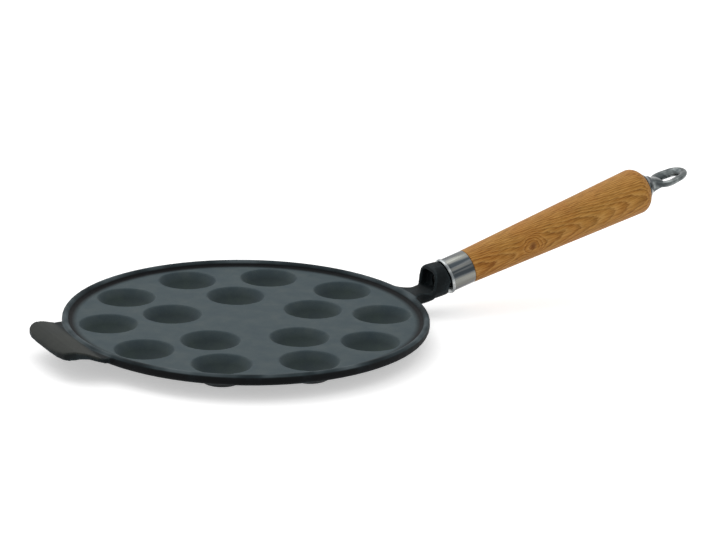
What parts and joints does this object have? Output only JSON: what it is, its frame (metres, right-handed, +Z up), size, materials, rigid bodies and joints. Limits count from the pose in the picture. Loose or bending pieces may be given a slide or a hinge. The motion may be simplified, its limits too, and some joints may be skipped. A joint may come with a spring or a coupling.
{
  "type": "poffertjes pan",
  "caption": "Round cast iron pan with small round wells, a low rim, a thumb tab and a rising oak handle with a steel collar and a hanging eye.",
  "frame": {"origin": "centre of the plate's flat top face, between the inner wells", "axes": "+X from the pan's centre towards the handle, +Y to the left of the handle, +Z up out of the wells"},
  "size_m": [0.5027, 0.2498, 0.0846],
  "materials": {
    "iron": "seasoned, matt",
    "steel": "polished",
    "oak": "oiled",
    "rod_steel": "zinc plated",
    "chrome": "polished"
  },
  "bodies": {
    "pan": {"pan_casting": "iron"},
    "grip": {"handle_grip": "oak", "ferrule": "steel"},
    "tie": {"tie_rod": "rod_steel", "hanging_eye": "chrome"}
  },
  "joints": [
    {"name": "handle_draw", "type": "slide", "parent": "pan", "child": "grip", "axis": [0.9619, 0, 0.2733], "range_m": [0, 0.0075]},
    {"name": "eye_turn", "type": "hinge", "parent": "grip", "child": "tie", "pos_m": [0.15385, 0, 0.00995], "axis": [0.9619, 0, 0.2733], "range_deg": [0, 2160]}
  ],
  "couplings": [
    {"joint": "eye_turn", "follows": "handle_draw", "rad_per_m": 5026.5}
  ]
}
